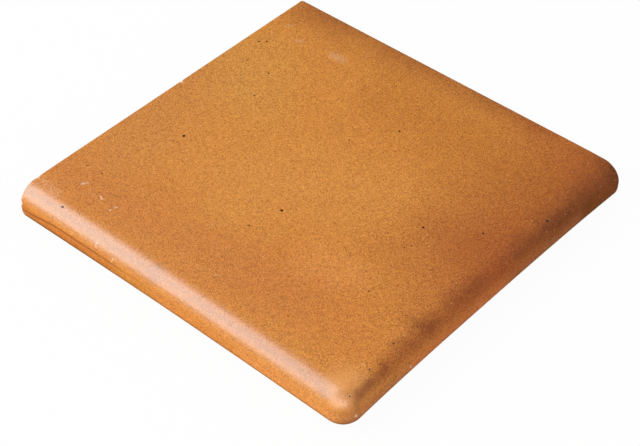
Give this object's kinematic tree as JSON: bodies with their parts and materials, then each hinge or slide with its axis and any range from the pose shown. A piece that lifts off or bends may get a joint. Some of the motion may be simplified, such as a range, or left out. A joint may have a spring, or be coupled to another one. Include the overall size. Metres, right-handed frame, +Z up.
{
  "type": "corner stair tread tile",
  "caption": "Square fired clay stair tread tile with a round nosing along two sides, a rounded outer corner, and lips that hang down over the step's edges.",
  "frame": {"origin": "middle of the tile's outline at the bottom of the two lips, which is the level it stands on", "axes": "+Z up through the tread's top face; the front nosing faces -Y, the side nosing faces +X, and the plain cut edges face -X and +Y"},
  "size_m": [0.33, 0.33, 0.037],
  "materials": {
    "fired_clay": "satin"
  },
  "bodies": {
    "root": {"corner_tread": "fired_clay"}
  },
  "joints": []
}
